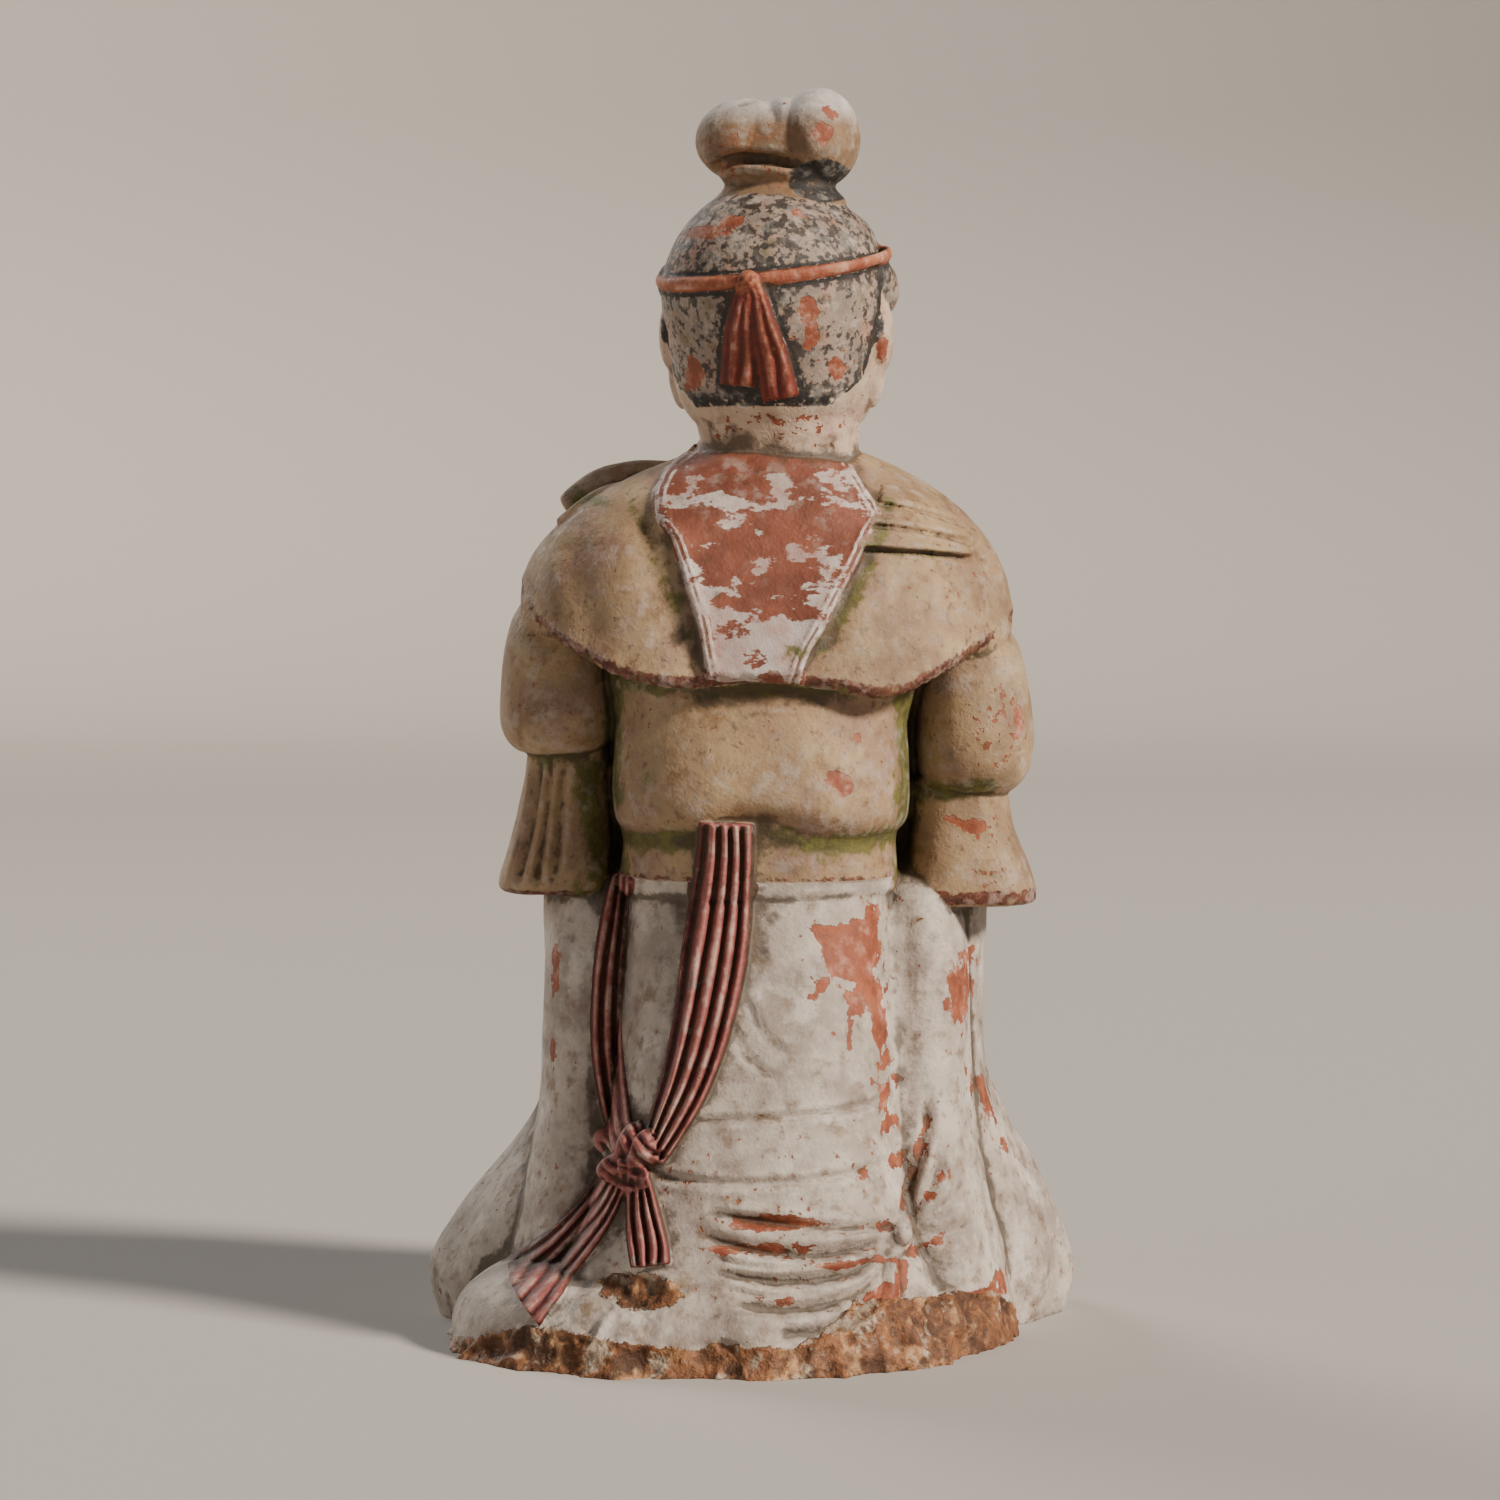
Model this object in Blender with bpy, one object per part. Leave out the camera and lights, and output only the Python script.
"""A kneeling attendant in painted earthenware, modelled in the round as one solid.

The figure faces -Y and stands on z = 0. +X is its own left. Every form is given in the
millimetres of a figure 660 mm tall, and FIGURE_HEIGHT scales them all.
"""

import math

import bmesh
import bpy
import numpy as np
from mathutils import Matrix, Vector, noise
from mathutils.bvhtree import BVHTree

FIGURE_HEIGHT = 0.66
MODEL_HEIGHT_MM = 660
MM = FIGURE_HEIGHT / MODEL_HEIGHT_MM

# Clay and carving sizes, in millimetres on the 660 mm figure
CAPE_EDGE = 7
CAPE_SKIRTING = 16
PANEL_RELIEF = 5.5
PANEL_PIPING = 2.0
SASH_RELIEF = 7.5
SASH_FLUTE = 3.2
HAIR_TIE_RELIEF = 3.0
HAIR_TIE_HEIGHT = 8.0
FOLD_DEPTH = 3.4
BREAK_ROUGHNESS = 4.0
BREAK_TOP = 30
HEAD_TURN_DEGREES = -13
HEAD_CENTRE = (-13.5, 20, 537)

# Mesh fineness, in millimetres and faces
CLAY_GRAIN = 2.4
SOLID_FACES = 10500


def curve(points, t):
    """A point on the smooth line through the given points, t running from 0 to 1."""
    points = np.asarray(points, float)
    last = len(points) - 1
    place = min(max(t, 0.0), 1.0) * last
    i = min(int(place), last - 1)
    f = place - i
    a, b, c, d = (points[min(max(i + k, 0), last)] for k in (-1, 0, 1, 2))
    return 0.5 * (
        2 * b + (c - a) * f + (2 * a - 5 * b + 4 * c - d) * f**2 + (3 * b - a - 3 * c + d) * f**3
    )


def ring_curve(points, t):
    """The same for a closed line."""
    points = np.asarray(points, float)
    count = len(points)
    place = (t % 1.0) * count
    i = int(place)
    f = place - i
    a, b, c, d = (points[(i + k) % count] for k in (-1, 0, 1, 2))
    return 0.5 * (
        2 * b + (c - a) * f + (2 * a - 5 * b + 4 * c - d) * f**2 + (3 * b - a - 3 * c + d) * f**3
    )


def bell(x, centre, width):
    """A smooth bump of height 1 at centre."""
    return math.exp(-(((x - centre) / width) ** 2))


def power(x, exponent):
    return math.copysign(abs(x) ** exponent, x)


def skin(clay, place, around, along):
    """Adds a closed form: a grid wrapped into a tube by place(u, v), drawn in to a point at each end."""
    grid = bmesh.new()
    bmesh.ops.create_grid(grid, x_segments=around, y_segments=along, size=0.5)
    for vert in grid.verts:
        u, v = vert.co.x + 0.5, vert.co.y + 0.5
        vert.co = Vector(place(u, v))
    bmesh.ops.remove_doubles(grid, verts=grid.verts, dist=0.01)
    bmesh.ops.recalc_face_normals(grid, faces=grid.faces)
    pour(clay, grid)


def pour(clay, form):
    """Joins a finished form's mesh to the clay."""
    mesh = bpy.data.meshes.new("form")
    form.to_mesh(mesh)
    form.free()
    clay.from_mesh(mesh)
    bpy.data.meshes.remove(mesh)


def ball(clay, centre, radii, turn=(0, 0, 0)):
    """Adds an ellipsoid, turned by three angles in degrees."""
    form = bmesh.new()
    bmesh.ops.create_icosphere(form, subdivisions=4, radius=1)
    spin = Matrix.Rotation(math.radians(turn[2]), 4, "Z")
    spin @= Matrix.Rotation(math.radians(turn[1]), 4, "Y")
    spin @= Matrix.Rotation(math.radians(turn[0]), 4, "X")
    place = Matrix.Translation(centre) @ spin @ Matrix.Diagonal((*radii, 1))
    bmesh.ops.transform(form, matrix=place, verts=form.verts)
    pour(clay, form)


def stack(clay, rings, around=64, along=40, drop=None):
    """Adds a form of level rings: (z, centre x, centre y, half width, reach back, reach front, squareness)."""

    def place(u, v):
        z, cx, cy, half, back, front, square = curve(rings, v)
        angle = 2 * math.pi * u
        side, depth = math.cos(angle), math.sin(angle)
        x = cx + half * power(side, 2 / square)
        y = cy + (back if depth > 0 else front) * power(depth, 2 / square)
        if v < 1e-6 or v > 1 - 1e-6:
            x, y = cx, cy
        if drop:
            z += drop(x, y, z)
        return x, y, z

    skin(clay, place, around, along)


def sweep(clay, points, radii, around=32, along=40):
    """Adds a round limb along a path, one radius at each of its points."""

    def place(u, v):
        here = Vector(curve(points, v))
        ahead = Vector(curve(points, v + 0.02)) - Vector(curve(points, v - 0.02))
        ahead.normalize()
        across = ahead.cross(Vector((0, 0, 1))).normalized()
        up = across.cross(ahead)
        radius = float(curve([[r] for r in radii], v)[0]) * math.sqrt(max(0.0, 1 - (2 * v - 1) ** 20))
        angle = 2 * math.pi * u
        return here + radius * (math.cos(angle) * across + math.sin(angle) * up)

    skin(clay, place, around, along)


def laid(clay, surface, points, widths, lift, side=1, sink=5, around=40, along=48):
    """Adds a strip laid on the clay, seen from behind (side 1) or in front (side -1).

    points are (x, z) and widths are half widths along the strip. lift(s, t) is its height above
    the clay, s running from -1 to 1 across and t from 0 to 1 along.
    """
    top_share = 0.7

    def place(u, v):
        t = min(max((v - 0.02) / 0.96, 0.0), 1.0)
        here = curve(points, t)
        ahead = curve(points, t + 0.02) - curve(points, t - 0.02)
        ahead /= np.linalg.norm(ahead)
        half = curve([[w] for w in widths], t)[0]
        if u < top_share:
            s = 1 - 2 * u / top_share
            above = lift(s, t)
        else:
            s = -1 + 2 * (u - top_share) / (1 - top_share)
            above = -sink
        if v < 1e-6 or v > 1 - 1e-6:
            s, above = 0, -sink / 2
        x = here[0] - ahead[1] * half * s
        z = here[1] + ahead[0] * half * s
        y = surface(x, z, side)
        return x, y + side * above, z

    skin(clay, place, around, along)


def rounded(height):
    """A strip's plain lift: flat with round edges."""
    return lambda s, t: height * (1 - s**6) ** 0.5


def fluted(height, depth, count, edge=6):
    """A lift with grooves that run along the strip."""

    def lift(s, t):
        groove = 0.5 - 0.5 * math.cos(math.pi * count * (s + 1))
        return height * (1 - abs(s) ** edge) ** 0.5 - depth * (1 - groove)

    return lift


def surface_of(clay):
    """A function that finds the clay's outer skin, looking along Y from behind or in front."""
    tree = BVHTree.FromBMesh(clay)
    far = MODEL_HEIGHT_MM

    def look(x, z, side):
        hit = tree.ray_cast(Vector((x, side * far, z)), Vector((0, -side, 0)))[0]
        return hit.y if hit else 0.0

    return look


# The clothed body, from the floor up


def skirt(clay):
    stack(clay, [
        (-14, 4, 40, 10, 10, 10, 2.4),
        (-12, 4, 40, 114, 116, 96, 2.6),
        (20, 4, 40, 112, 114, 94, 2.6),
        (48, 3, 40, 99, 103, 90, 2.6),
        (72, 1, 37, 88, 97, 82, 2.6),
        (96, 0, 34, 82, 95, 76, 2.6),
        (128, -2, 30, 77, 90, 72, 2.6),
        (180, -3, 22, 73, 84, 66, 2.6),
        (235, -4, 16, 70, 74, 60, 2.6),
        (262, -4, 15, 68, 70, 58, 2.4),
        (264, -4, 15, 10, 10, 10, 2.4),
    ])


def lap(clay):
    """The thighs and knees under the skirt, in front."""
    stack(clay, [
        (-14, 0, -60, 10, 10, 10, 2.4),
        (-12, 0, -60, 108, 110, 104, 2.8),
        (30, 0, -60, 106, 110, 103, 2.8),
        (70, 0, -60, 101, 110, 97, 2.6),
        (102, 0, -58, 93, 110, 84, 2.5),
        (122, 0, -52, 78, 100, 64, 2.4),
        (136, 0, -42, 50, 70, 38, 2.2),
        (143, 0, -36, 12, 20, 10, 2.0),
        (143.5, 0, -36, 4, 4, 4, 2.0),
    ])
    for x in (-47, 47):
        ball(clay, (x, -90, 74), (50, 61, 51))


def hem(clay):
    """The skirt's edge spread on the floor, low and lobed."""
    footprint = [
        (26, 158), (76, 155), (100, 140), (127, 120), (150, 86), (159, 46), (148, -5),
        (128, -60), (104, -112), (64, -154), (0, -163), (-64, -154), (-104, -112),
        (-122, -60), (-128, -10), (-131, 38), (-123, 74), (-107, 98), (-76, 119), (-40, 141),
        (-4, 164),
    ]
    heights = [(-14, 0.2), (-12, 1.0), (8, 1.0), (20, 0.985), (31, 0.93), (42, 0.8), (52, 0.55), (56, 0.1)]
    middle = Vector((4, 20))

    def place(u, v):
        z, share = curve(heights, v)
        rim = Vector(ring_curve(footprint, u))
        if v < 1e-6 or v > 1 - 1e-6:
            share = 0
        flat = middle + (rim - middle) * float(share)
        return flat.x, flat.y, z

    skin(clay, place, 120, 24)


def trunk(clay):
    stack(clay, [
        (234, -3, 15, 10, 10, 10, 2.4),
        (235, -3, 15, 70, 72, 60, 2.4),
        (265, -4, 15, 71, 74, 60, 2.4),
        (300, -4, 15, 74, 78, 60, 2.4),
        (350, -6, 15, 84, 78, 62, 2.4),
        (400, -8, 12, 98, 68, 56, 2.4),
        (430, -9, 12, 90, 56, 48, 2.2),
        (452, -11, 14, 64, 42, 38, 2.0),
        (470, -13, 16, 42, 33, 33, 2.0),
        (500, -14, 18, 38, 33, 33, 2.0),
        (502, -14, 18, 4, 4, 4, 2.0),
    ])


def blouse(clay):
    """The jacket's body, full and bagging over the belt in two rolls behind."""

    def drop(x, y, z):
        low = min(max((318 - z) / 40, 0), 1)
        raised = 10 * bell(x, -1, 27) if y > 15 else 6 * bell(x, -4, 40)
        return low * (raised - 3)

    stack(clay, [
        (271, -5, 15, 40, 40, 40, 2.4),
        (270, -5, 15, 66, 74, 56, 2.5),
        (276, -5, 15, 76, 85, 64, 2.6),
        (287, -5, 15, 79, 90, 67, 2.7),
        (305, -5, 15, 79, 88, 66, 2.7),
        (332, -5, 15, 78, 81, 64, 2.6),
        (356, -6, 15, 78, 76, 60, 2.4),
        (360, -6, 15, 10, 10, 10, 2.4),
    ], drop=drop)


def peplum(clay):
    """The jacket's hem, a short band below the belt."""
    stack(clay, [
        (246.5, -4, 15, 50, 50, 50, 2.6),
        (246, -4, 15, 71.5, 75, 62, 2.6),
        (249, -4, 15, 73.5, 77, 64, 2.6),
        (262, -4, 15, 72.5, 78, 63, 2.6),
        (290, -4, 15, 70, 77, 60, 2.6),
        (292, -4, 15, 10, 10, 10, 2.6),
    ])


def curtain(clay, stations, folds):
    """A wide sleeve hanging from the forearm: (z, back x y, middle x y, front x y, half thickness)."""

    def place(u, v):
        z, bx, by, mx, my, fx, fy, half = curve(stations, v)
        if v < 1e-6 or v > 1 - 1e-6:
            return mx, my, z
        angle = 2 * math.pi * u
        share = 0.5 + 0.5 * power(math.cos(angle), 0.75)
        spine = [(bx, by), (mx, my), (fx, fy)]
        here = Vector(curve(spine, share))
        ahead = Vector(curve(spine, share + 0.03)) - Vector(curve(spine, share - 0.03))
        ahead.normalize()
        out = Vector((ahead.y, -ahead.x))
        reach = float(half) * power(math.sin(angle), 0.8)
        low = min(max((150 - z) / 150, 0), 1)
        reach += folds * low * math.cos(9 * math.pi * share) * math.sin(angle)
        return here.x + out.x * reach, here.y + out.y * reach, z

    skin(clay, place, 96, 40)


def sleeves(clay):
    """The two wide under-sleeves, from the forearms to the floor."""
    curtain(clay, [
        (268, 96, 4, 90, -40, 52, -86, 8),
        (262, 99, 10, 92, -42, 50, -90, 12),
        (225, 100, 14, 95, -45, 52, -95, 13),
        (170, 96, 16, 97, -50, 66, -108, 13),
        (125, 96, 18, 99, -52, 84, -122, 14),
        (95, 101, 20, 112, -54, 94, -130, 17),
        (60, 110, 22, 135, -50, 100, -136, 23),
        (30, 116, 20, 148, -46, 106, -138, 27),
        (4, 114, 16, 146, -44, 108, -136, 25),
        (-12, 110, 14, 138, -42, 106, -132, 22),
        (-14, 110, 14, 138, -42, 106, -132, 20),
    ], 1.5)
    curtain(clay, [
        (268, -104, 4, -100, -40, -56, -86, 8),
        (262, -108, 10, -104, -42, -54, -90, 13),
        (225, -110, 14, -108, -45, -56, -95, 15),
        (170, -108, 16, -108, -50, -70, -108, 15),
        (135, -108, 18, -112, -52, -86, -120, 15),
        (110, -110, 20, -121, -54, -94, -128, 17),
        (78, -114, 20, -136, -54, -98, -134, 20),
        (50, -114, 18, -146, -56, -104, -138, 23),
        (26, -114, 14, -150, -60, -108, -138, 26),
        (4, -112, 10, -148, -60, -108, -136, 25),
        (-12, -110, 8, -142, -58, -106, -132, 22),
        (-14, -110, 8, -142, -58, -106, -132, 20),
    ], 1.2)


def sleeve_fall(clay):
    """Where the two sleeves meet in front and hang together from the joined hands over the lap."""
    stack(clay, [
        (103, 0, -58, 4, 4, 4, 2.4),
        (104, 0, -58, 64, 40, 66, 2.6),
        (135, 0, -58, 66, 40, 62, 2.6),
        (170, 0, -55, 62, 40, 57, 2.6),
        (225, 0, -52, 52, 40, 47, 2.6),
        (270, 0, -52, 48, 40, 38, 2.6),
        (276, 0, -52, 4, 4, 4, 2.4),
    ], around=64, along=40)


def between(clay):
    """The clay that joins the skirt and trunk to the sleeves, set back as a valley on each side."""
    for side, out, reach in ((1, 84, 0), (-1, 89, 9)):
        stack(clay, [
            (-13, side * (out + 8), 0, 4, 4, 4, 2.2),
            (-12, side * (out + 8), 0, 44, 86 + reach, 80, 2.1),
            (40, side * (out + 6), 0, 41, 79 + reach, 80, 2.1),
            (80, side * (out + 3), 0, 35, 69 + reach, 75, 2.1),
            (130, side * out, 0, 30, 58 + reach, 70, 2.2),
            (200, side * out, 0, 27, 48 + reach, 66, 2.3),
            (236, side * out, 0, 22, 36 + reach, 60, 2.4),
            (262, side * out, -6, 16, 20, 40, 2.4),
            (310, side * out, 0, 16, 20, 8, 2.4),
            (390, side * (out + 3), 0, 16, 24, 8, 2.4),
            (392, side * (out + 3), 0, 4, 4, 4, 2.4),
        ], around=48, along=48)


def arms(clay):
    """The puffed upper sleeves, the flared cuffs at the elbows and the forearms, joined in front."""
    stack(clay, [
        (428, 86, 12, 4, 4, 4, 2),
        (426, 87, 12, 14, 20, 20, 2),
        (408, 94, 13, 22, 32, 32, 2.1),
        (372, 102, 15, 28, 38, 38, 2.2),
        (340, 103, 16, 30.5, 41, 41, 2.2),
        (322, 103, 16, 29.5, 39, 39, 2.2),
        (311, 102, 15, 22, 31, 31, 2.1),
        (309, 102, 15, 6, 6, 6, 2),
    ])
    stack(clay, [
        (418, -98, 12, 4, 4, 4, 2),
        (416, -99, 12, 16, 22, 22, 2),
        (398, -106, 14, 23, 33, 33, 2.1),
        (368, -114, 15, 28, 38, 38, 2.2),
        (330, -118, 16, 31.5, 41, 41, 2.2),
        (308, -118, 16, 31, 40, 40, 2.3),
        (295, -117, 15, 27, 34, 34, 2.3),
        (287, -115, 14, 18, 22, 22, 2.1),
        (286, -115, 14, 6, 6, 6, 2),
    ])
    for rings in (
        [
            (322, 97, 13, 6, 6, 6, 2),
            (318, 97, 13, 20, 25, 27, 2.3),
            (292, 99, 10, 23, 30, 33, 2.5),
            (262, 102, 4, 27.5, 37, 43, 2.7),
            (244, 104, 0, 31, 42, 48, 2.9),
            (237, 104, -2, 31, 42, 48, 2.9),
            (235, 103, -2, 25, 34, 40, 2.7),
            (236, 103, -2, 6, 6, 6, 2),
        ],
        [
            (300, -108, 12, 6, 6, 6, 2),
            (296, -109, 12, 24, 28, 28, 2.4),
            (270, -112, 6, 28, 36, 38, 2.6),
            (248, -115, 1, 34, 43, 46, 2.9),
            (236, -115, -1, 37, 45, 50, 3.0),
            (230, -115, -2, 36, 44, 49, 3.0),
            (229, -116, -2, 27, 34, 40, 2.7),
            (230, -116, -2, 6, 6, 6, 2),
        ],
    ):
        stack(clay, rings)
    for side in (1, -1):
        sweep(
            clay,
            [(side * 108, 8, 262), (side * 96, -28, 262), (side * 66, -66, 268), (side * 26, -84, 276), (0, -86, 279)],
            [24, 27, 27, 25, 24],
        )
    ball(clay, (0, -88, 280), (30, 22, 27))


def cape(clay):
    """The shoulder cape: a sheet from the neck out over both shoulders, its edge cut in lobes."""
    edge = [
        (-4, 99, 357), (30, 100, 354), (54, 98, 356), (74, 90, 362), (95, 72, 374), (111, 48, 387),
        (120, 14, 403), (112, -22, 398), (90, -52, 384), (62, -68, 370), (34, -74, 362),
        (0, -76, 366),
        (-36, -74, 360), (-66, -68, 366), (-96, -52, 378), (-122, -24, 388), (-137, 12, 388),
        (-125, 46, 377), (-100, 76, 361), (-70, 95, 349), (-44, 100, 353),
    ]
    start = 0.25  # the edge's list starts behind, a quarter turn from the ring's start at +X

    def place(u, v):
        rim = Vector(ring_curve(edge, u))
        angle = 2 * math.pi * (start - u)
        neck = Vector((-14 + 42 * math.cos(angle), 16 + 33 * math.sin(angle), 470))
        outward = Vector((rim.x + 8, rim.y - 12, 0)).normalized()
        rise = 458 - 10 * abs(math.cos(angle))
        spread = 0.97 if math.sin(angle) > 0 else 0.93
        drop = 24 * abs(math.sin(angle)) + (5 if rim.x < 0 else 0) * abs(math.cos(angle))
        shoulder = Vector((rim.x * spread, 12 + (rim.y - 12) * 0.86, rise - drop))
        if v < 0.03:
            return -14, 16, 474
        if v < 0.62:
            t = (v - 0.03) / 0.59
            return (1 - t) ** 2 * neck + 2 * t * (1 - t) * shoulder + t * t * (rim + 1.5 * outward)
        if v < 0.7:
            t = (v - 0.62) / 0.08
            return rim + outward * (1.5 * math.cos(math.pi * t)) + Vector((0, 0, -CAPE_EDGE * t))
        if v < 0.97:
            t = (v - 0.7) / 0.27
            under = rim - CAPE_SKIRTING * outward * t
            return under + Vector((0, 0, -CAPE_EDGE * (1 - t) + 3 * t))
        return -8, 12, 400

    skin(clay, place, 140, 60)


def shoulder_pleats(clay, surface):
    """On the right shoulder the cape lies in three steps, each over the next, and in front it rolls over."""
    for ends, low, height in (
        ([(-58, 424), (-88, 424), (-112, 421)], 8, 3.2),
        ([(-66, 436), (-88, 434), (-106, 430)], 6, 3.0),
        ([(-70, 446), (-86, 442), (-98, 438)], 5, 2.6),
    ):
        laid(clay, surface, ends, [low, low, low * 0.7],
             lambda s, t, h=height: h * (0.6 + 0.4 * s) * (1 - s**10) ** 0.5, along=28)
    sweep(clay, [(40, -2, 460), (62, -6, 457), (82, -6, 451), (101, -4, 440)], [5, 8, 8.5, 6])
    sweep(clay, [(54, 16, 452), (78, 18, 445), (103, 20, 430)], [4, 6, 4])


def back_panel(clay, surface):
    """The red collar's square flap, tapering down the back, piped along both edges."""

    def lift(s, t):
        piping = PANEL_PIPING * (bell(abs(s), 0.95, 0.05) + 0.8 * bell(abs(s), 0.84, 0.045))
        return PANEL_RELIEF * (1 - abs(s) ** 18) ** 0.5 + piping * (0.2 + 0.8 * min(1, 4 * t))

    laid(clay, surface, [(-14, 470), (-9, 444), (-8, 422), (-5, 392), (-2, 370), (-1, 352)],
         [40, 60, 51, 38, 29, 24], lift, around=72, along=40)


def sash(clay, surface):
    """Two fluted ribbons that fall from the belt, meet in a knot and part again, and a small knot opposite."""
    laid(clay, surface,
         [(13, 277), (14, 255), (18, 215), (24, 180), (33, 148), (44, 122), (52, 106)],
         [14.5, 15.5, 17.5, 16, 13.5, 10, 7],
         fluted(SASH_RELIEF, SASH_FLUTE, 4), along=60)
    laid(clay, surface,
         [(68, 252), (72, 225), (75, 195), (76, 160), (72, 130), (66, 108)],
         [6, 8, 9, 9, 9, 8],
         fluted(SASH_RELIEF - 1, SASH_FLUTE, 3))
    laid(clay, surface,
         [(68, 100), (80, 76), (98, 54), (119, 32)],
         [7, 9, 11, 16],
         fluted(SASH_RELIEF, SASH_FLUTE, 4))
    laid(clay, surface,
         [(60, 100), (57, 84), (54, 66), (52, 54)],
         [7, 9, 11, 11],
         fluted(SASH_RELIEF - 1, SASH_FLUTE, 4))
    for x, z, radii in ((71, 103, (10, 9, 10)), (58, 110, (10, 9, 11)), (64, 98, (10, 8, 7)), (-77, 65, (6, 5, 6))):
        ball(clay, (x, surface(x, z, 1) + 2, z), radii)


def front_dress(clay, surface):
    """The crossed collar in front."""
    laid(clay, surface, [(28, 462), (14, 430), (-6, 396), (-22, 370)], [9, 9, 9, 8],
         rounded(4), side=-1)
    laid(clay, surface, [(-50, 462), (-36, 432), (-14, 398), (8, 368)], [9, 9, 9, 8],
         rounded(7), side=-1)


# The head, modelled on its own axes and then set on the neck

FACE_MARKS = (
    # x, z, half width, half height, push forward
    (0, 40, 30, 16, 2.0),
    (17, 15, 15, 4.5, 2.6),
    (22, 3, 13, 8, -5.5),
    (22, 0, 10.5, 5.5, 4.8),
    (30, -16, 15, 15, 2.6),
    (20, -40, 14, 16, -1.0),
    (8.5, -23, 4.5, 4.5, 4.5),
)
FACE_MIDDLE = (
    (0, -58, 15, 10, 6.0),
    (0, -49, 14, 3.5, -1.5),
    (0, -42, 11, 4.2, 4.2),
    (0, -34, 13, 3.8, 4.2),
    (0, -38, 17, 1.5, -2.4),
    (0, -21, 6.5, 6.5, 6.5),
    (0, -8, 4.6, 16, 9.0),
    (0, 8, 5.0, 9, 4.0),
)


def face_push(x, z):
    """How far the face stands forward of the plain head at a point seen from in front."""
    push = sum(amount * bell(x, mx, w) * bell(z, mz, h) for mx, mz, w, h, amount in FACE_MIDDLE)
    for mx, mz, w, h, amount in FACE_MARKS:
        push += amount * (bell(x, mx, w) + bell(x, -mx, w)) * bell(z, mz, h)
    return push


def head_form(clay):
    """The skull, jaw and face, centred at the origin and facing -Y."""
    rings = [
        (-65, 0, -6, 4, 4, 4, 2.0),
        (-64, 0, -6, 24, 30, 40, 2.0),
        (-56, 0, -3, 39, 40, 51, 2.1),
        (-44, 0, 0, 49, 47, 57, 2.2),
        (-26, 0, 1, 54.5, 54, 60, 2.2),
        (-5, 0, 2, 57, 59, 62, 2.2),
        (16, 0, 3, 57.5, 62, 63, 2.2),
        (36, 0, 4, 54, 59, 60, 2.1),
        (53, 0, 5, 46, 49, 48, 2.0),
        (65, 0, 6, 32, 34, 33, 2.0),
        (71, 0, 7, 15, 16, 15, 2.0),
        (72, 0, 7, 3, 3, 3, 2.0),
    ]

    def place(u, v):
        z, cx, cy, half, back, front, square = curve(rings, v)
        angle = 2 * math.pi * u
        side, depth = math.cos(angle), math.sin(angle)
        x = cx + half * power(side, 2 / square)
        y = cy + (back if depth > 0 else front) * power(depth, 2 / square)
        if v < 1e-6 or v > 1 - 1e-6:
            return cx, cy, z
        if depth < 0:
            y -= min(1.0, -2.2 * depth) * face_push(x, z)
        return x, y, z

    skin(clay, place, 160, 110)
    stack(clay, [
        (-92, -2, 2, 4, 4, 4, 2.2),
        (-90, -2, 2, 41, 33, 36, 2.2),
        (-70, -2, 2, 41, 34, 34, 2.2),
        (-52, -1, 3, 43, 38, 32, 2.2),
        (-36, 0, 4, 45, 43, 20, 2.2),
        (-34, 0, 4, 4, 4, 4, 2.2),
    ])


def hair(clay):
    """The cap of hair drawn up to the crown, with a roll standing out over each temple."""
    ball(clay, (0, 9, 15), (59.5, 60, 58))
    for side in (1, -1):
        ball(clay, (side * 54, -12, 20), (11, 25, 14), (14, 0, side * -8))
        ball(clay, (side * 19, -24, 46), (30, 31, 20), (0, side * 16, side * -10))


def hair_tie(clay):
    """The fillet round the hair: a flattened cord, higher over the brow than behind."""

    def place(u, v):
        angle = 2 * math.pi * u
        around = 2 * math.pi * v
        nx, ny = math.cos(around), math.sin(around)
        centre = Vector((61 * nx, 9 + (61 if ny > 0 else 66) * ny, 29.5 - 9.5 * ny - 5.4 * nx))
        out = Vector((nx, ny, 0.15)).normalized()
        swell = HAIR_TIE_RELIEF * math.cos(angle)
        return centre + out * swell + Vector((0, 0, HAIR_TIE_HEIGHT / 2 * math.sin(angle)))

    form = bmesh.new()
    bmesh.ops.create_grid(form, x_segments=16, y_segments=96, size=0.5)
    for vert in form.verts:
        vert.co = place(vert.co.x + 0.5, vert.co.y + 0.5)
    bmesh.ops.remove_doubles(form, verts=form.verts, dist=0.01)
    bmesh.ops.recalc_face_normals(form, faces=form.faces)
    pour(clay, form)


def topknot(clay):
    """A stalk, and on it the hair rolled over in two lobes."""
    stack(clay, [
        (60, -3, 8, 4, 4, 4, 2),
        (62, -3, 8, 34, 30, 30, 2.2),
        (72, -3, 8, 29, 26, 26, 2.2),
        (82, -3, 8, 32, 28, 28, 2.2),
        (90, -3, 8, 4, 4, 4, 2),
    ])
    ball(clay, (14, 8, 97), (27, 29, 22.5))
    ball(clay, (-26, 8, 97), (20, 31, 26.5))
    ball(clay, (-4, 8, 92), (41, 27, 22))


def ears(clay):
    """Long ears lying close to the head."""
    for side in (1, -1):
        ball(clay, (side * 57, 4, -6), (6, 13, 19), (-10, 0, 0))
        ball(clay, (side * 53, 2, -30), (5, 9, 15), (-6, side * 8, 0))


def tie_ends(clay, surface):
    """The fillet's knot and its two ends hanging down the back of the head."""
    ball(clay, (-1, surface(-1, 20, 1) + 1.5, 20), (5.5, 4.5, 5.5))
    laid(clay, surface, [(1, 18), (4, 4), (7, -14), (9, -33)], [4, 6, 8.5, 9],
         fluted(4.6, 1.8, 2), sink=4, around=28, along=24)
    laid(clay, surface, [(-4, 18), (-7, 2), (-10, -18), (-13, -40)], [4, 6, 8, 10],
         fluted(4.6, 1.8, 2), sink=4, around=28, along=24)


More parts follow.
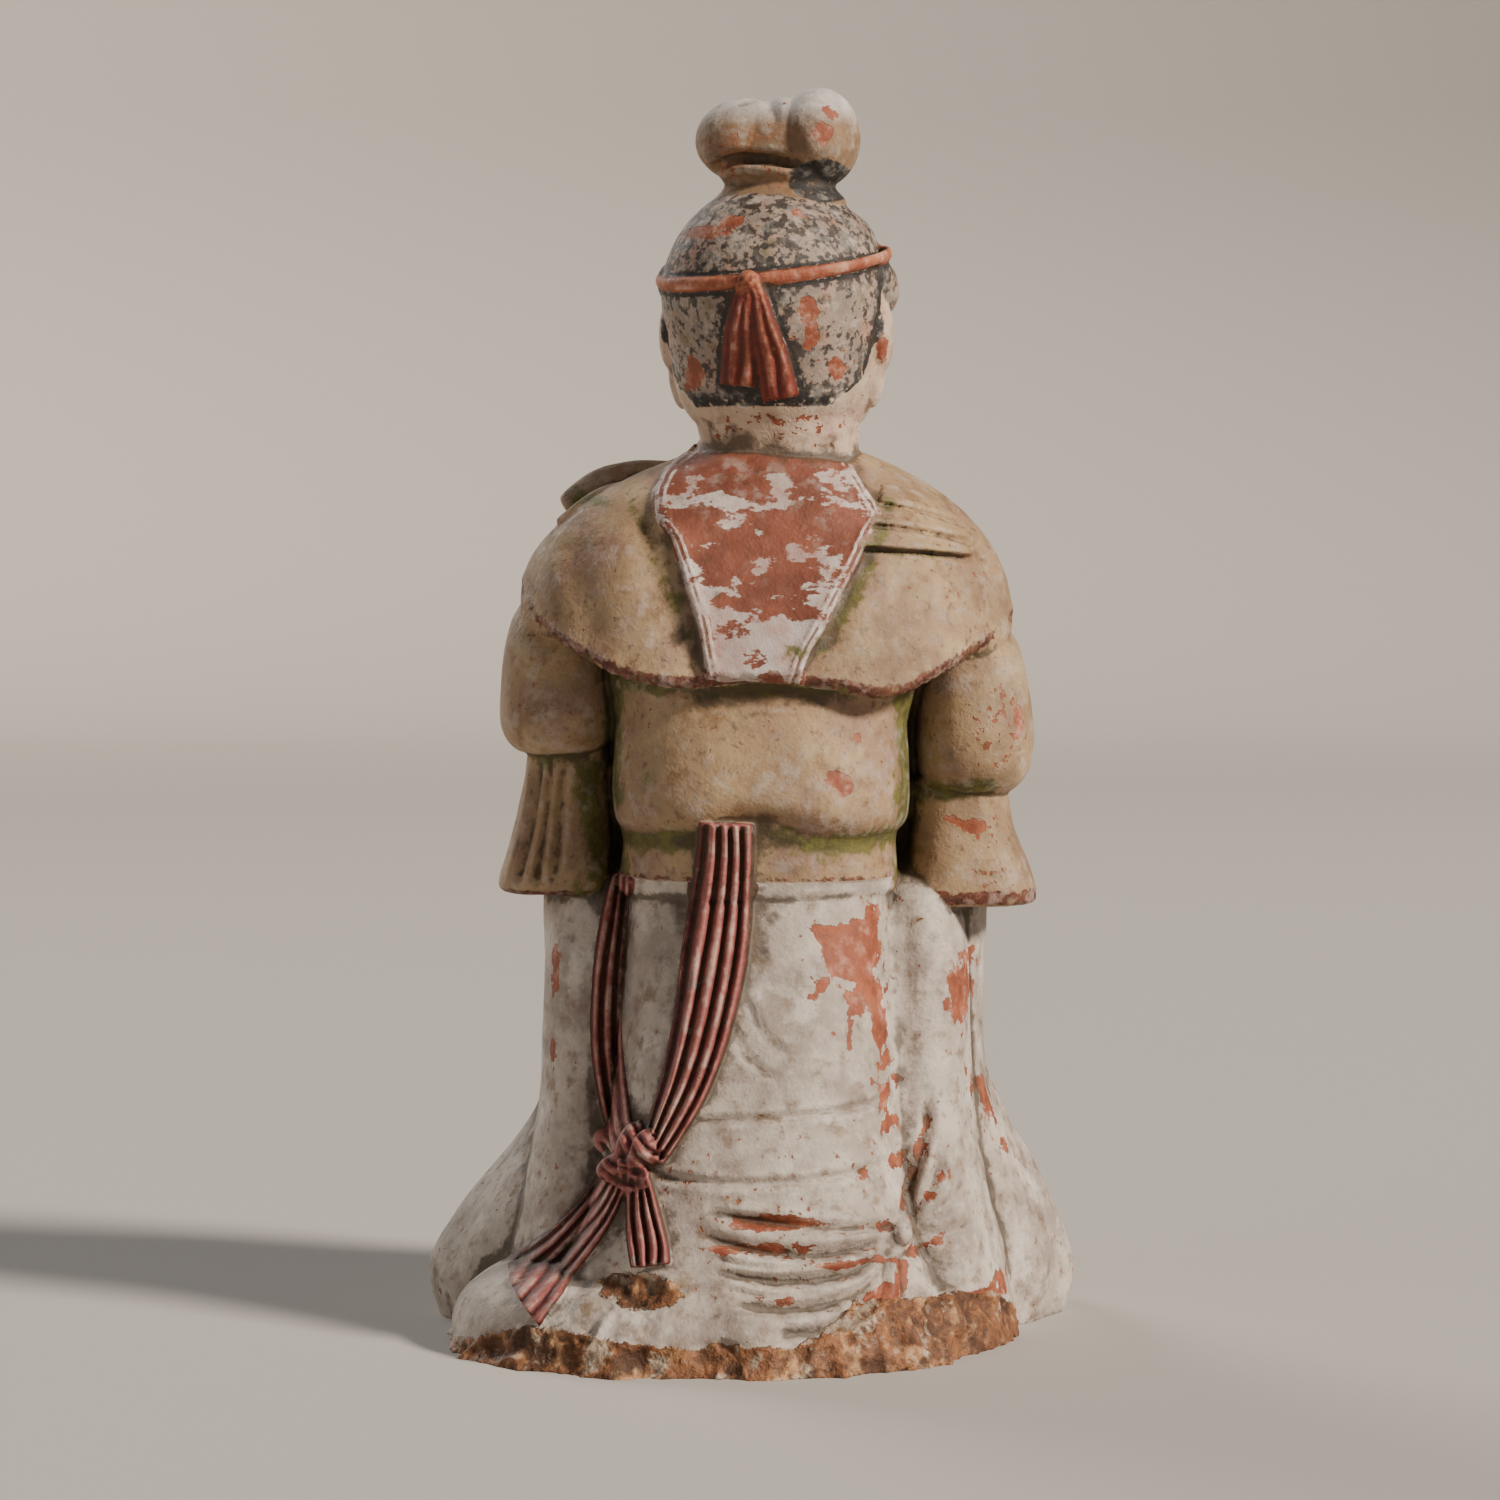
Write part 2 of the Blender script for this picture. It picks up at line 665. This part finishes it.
def head(clay):
    """The whole head, turned a little to its right and set on the neck."""
    form = bmesh.new()
    head_form(form)
    hair(form)
    hair_tie(form)
    topknot(form)
    ears(form)
    tie_ends(form, surface_of(form))
    turn = Matrix.Rotation(math.radians(HEAD_TURN_DEGREES), 4, "Z")
    bmesh.ops.transform(form, matrix=Matrix.Translation(HEAD_CENTRE) @ turn, verts=form.verts)
    pour(clay, form)


# Fusing and carving


def evaluated(obj):
    """The object's mesh with its modifiers applied."""
    graph = bpy.context.evaluated_depsgraph_get()
    return bpy.data.meshes.new_from_object(obj.evaluated_get(graph))


def fused(clay):
    """The overlapping forms made one skin, as clay worked together."""
    mesh = bpy.data.meshes.new("clay")
    clay.to_mesh(mesh)
    clay.free()
    obj = bpy.data.objects.new("clay", mesh)
    bpy.context.scene.collection.objects.link(obj)
    remesh = obj.modifiers.new("Remesh", "REMESH")
    remesh.mode = "VOXEL"
    remesh.voxel_size = CLAY_GRAIN
    smooth = obj.modifiers.new("Smooth", "CORRECTIVE_SMOOTH")
    smooth.factor = 0.5
    smooth.iterations = 2
    smooth.use_only_smooth = True
    whole = evaluated(obj)
    bpy.data.objects.remove(obj)
    bpy.data.meshes.remove(mesh)
    return whole


SKIRT_FOLDS = (
    # Points (x, z) seen from behind, depth and half width: the folds drawn in to the right-hand knot
    ([(-74, 70), (-50, 72), (-15, 75), (18, 80)], 1.0, 4.5),
    ([(-73, 64), (-45, 57), (-10, 57), (24, 66)], 1.1, 4.5),
    ([(-72, 60), (-50, 44), (-20, 39), (6, 42)], 1.0, 4.5),
    ([(-70, 57), (-58, 38), (-30, 26), (5, 24)], 0.9, 4.5),
    ([(-78, 73), (-85, 92), (-91, 112), (-92, 132)], 1.1, 4.0),
    ([(-82, 70), (-95, 86), (-101, 102)], 0.9, 4.0),
    ([(-82, 64), (-100, 66), (-112, 70)], 0.8, 4.0),
    ([(-82, 58), (-100, 56), (-114, 58)], 0.8, 4.0),
    ([(-76, 56), (-78, 40)], 0.9, 4.0),
    ([(50, 98), (20, 95), (-30, 96), (-74, 102)], 0.6, 2.6),
    ([(28, 126), (-18, 128), (-62, 132), (-74, 138)], 0.5, 2.6),
)
CUFF_PLEATS = (
    ([(112, 306), (117, 270), (124, 244)], 0.7, 2.4),
    ([(106, 306), (110, 270), (114, 244)], 0.6, 2.4),
)
FRONT_FOLDS = (
    ([(50, 250), (30, 214), (0, 200), (-30, 214), (-50, 250)], 0.9, 6),
    ([(54, 218), (32, 178), (0, 163), (-32, 178), (-54, 218)], 0.9, 6),
    ([(58, 180), (34, 142), (0, 128), (-34, 142), (-58, 180)], 0.8, 6),
    ([(14, 100), (22, 70), (34, 20)], 0.8, 7),
    ([(-14, 100), (-22, 70), (-34, 20)], 0.8, 7),
)


def distance_to(points, x, z):
    """Each vertex's distance to a drawn line, and how far along the line it lies, from 0 to 1."""
    line = np.array([curve(points, t) for t in np.linspace(0, 1, 24)])
    near = np.full(len(x), 1e9)
    along = np.zeros(len(x))
    for i in range(len(line) - 1):
        a, b = line[i], line[i + 1]
        span = b - a
        t = np.clip(((x - a[0]) * span[0] + (z - a[1]) * span[1]) / (span @ span), 0, 1)
        away = np.hypot(x - a[0] - t * span[0], z - a[1] - t * span[1])
        closer = away < near
        near[closer] = away[closer]
        along[closer] = (i + t[closer]) / (len(line) - 1)
    return near, along


def press(co, normals, lines, side):
    """Presses folds into the clay on the side that is seen from behind (1) or in front (-1)."""
    facing = np.clip(side * normals[:, 1] * 2.5, 0, 1)
    for points, share, half in lines:
        near, along = distance_to(points, co[:, 0], co[:, 2])
        ends = np.clip(np.minimum(along, 1 - along) * 6 + 0.25, 0, 1)
        deep = FOLD_DEPTH * share * ends * facing
        groove = np.exp(-((near / half) ** 2)) - 0.35 * np.exp(-(((near - 2 * half) / half) ** 2))
        co -= normals * (deep * groove)[:, None]


def break_edge(co, normals):
    """The worn and broken clay along the foot of the back."""
    for i in range(len(co)):
        x, y, z = co[i]
        if y < 20 or z > BREAK_TOP + 20:
            continue
        share = min(max((BREAK_TOP + 12 * math.sin(x / 17) - z) / 10, 0), 1) * min((y - 20) / 40, 1)
        rough = noise.noise(Vector((x, y, 1.6 * z)) / 21)
        co[i] += normals[i] * share * (BREAK_ROUGHNESS * rough - 1.5)


def carve(mesh):
    """Moves the fused skin's vertices in along the folds."""
    count = len(mesh.vertices)
    co = np.empty(count * 3, np.float32)
    normals = np.empty(count * 3, np.float32)
    mesh.vertices.foreach_get("co", co)
    mesh.vertex_normals.foreach_get("vector", normals)
    co = co.reshape(-1, 3).astype(float)
    normals = normals.reshape(-1, 3).astype(float)
    press(co, normals, SKIRT_FOLDS, 1)
    press(co, normals, CUFF_PLEATS, 1)
    press(co, normals, FRONT_FOLDS, -1)
    break_edge(co, normals)
    mesh.vertices.foreach_set("co", co.astype(np.float32).ravel())
    mesh.update()


def thinned(mesh):
    """The same skin in fewer faces, more of them where it curves."""
    obj = bpy.data.objects.new("thin", mesh)
    bpy.context.scene.collection.objects.link(obj)
    mesh.calc_loop_triangles()
    decimate = obj.modifiers.new("Decimate", "DECIMATE")
    decimate.ratio = SOLID_FACES / len(mesh.loop_triangles)
    thin = evaluated(obj)
    bpy.data.objects.remove(obj)
    bpy.data.meshes.remove(mesh)
    return thin


def cut_flat(mesh):
    """Cuts the clay off level at the floor and closes the underside."""
    form = bmesh.new()
    form.from_mesh(mesh)
    cut = bmesh.ops.bisect_plane(
        form,
        geom=[*form.verts, *form.edges, *form.faces],
        plane_co=(0, 0, 0),
        plane_no=(0, 0, 1),
        dist=0.02,
        clear_inner=True,
    )
    rim = [e for e in cut["geom_cut"] if isinstance(e, bmesh.types.BMEdge)]
    made = bmesh.ops.triangle_fill(form, edges=rim, use_beauty=True, normal=(0, 0, -1))
    for face in made["geom"]:
        if isinstance(face, bmesh.types.BMFace) and face.normal.z > 0:
            face.normal_flip()
    bmesh.ops.scale(form, vec=(MM, MM, MM), verts=form.verts)
    form.to_mesh(mesh)
    form.free()


def earthenware():
    """Fired clay under worn white slip and mineral paint."""
    material = bpy.data.materials.new("painted_earthenware")
    material.use_nodes = True
    shader = material.node_tree.nodes["Principled BSDF"]
    shader.inputs["Base Color"].default_value = (0.52, 0.42, 0.32, 1)
    shader.inputs["Roughness"].default_value = 0.85
    shader.inputs["Metallic"].default_value = 0
    return material


def figure():
    for obj in list(bpy.data.objects):
        bpy.data.objects.remove(obj)
    clay = bmesh.new()
    for form in (skirt, lap, hem, trunk, peplum, blouse, sleeves, sleeve_fall, between, arms, cape):
        form(clay)
    surface = surface_of(clay)
    for form in (shoulder_pleats, back_panel, sash, front_dress):
        form(clay, surface)
    head(clay)
    mesh = fused(clay)
    carve(mesh)
    mesh = thinned(mesh)
    cut_flat(mesh)
    attendant = bpy.data.objects.new("attendant_figure", mesh)
    bpy.context.scene.collection.objects.link(attendant)
    mesh.materials.clear()
    mesh.materials.append(earthenware())
    mesh.shade_smooth()
    mesh.set_sharp_from_angle(angle=math.radians(50))


figure()
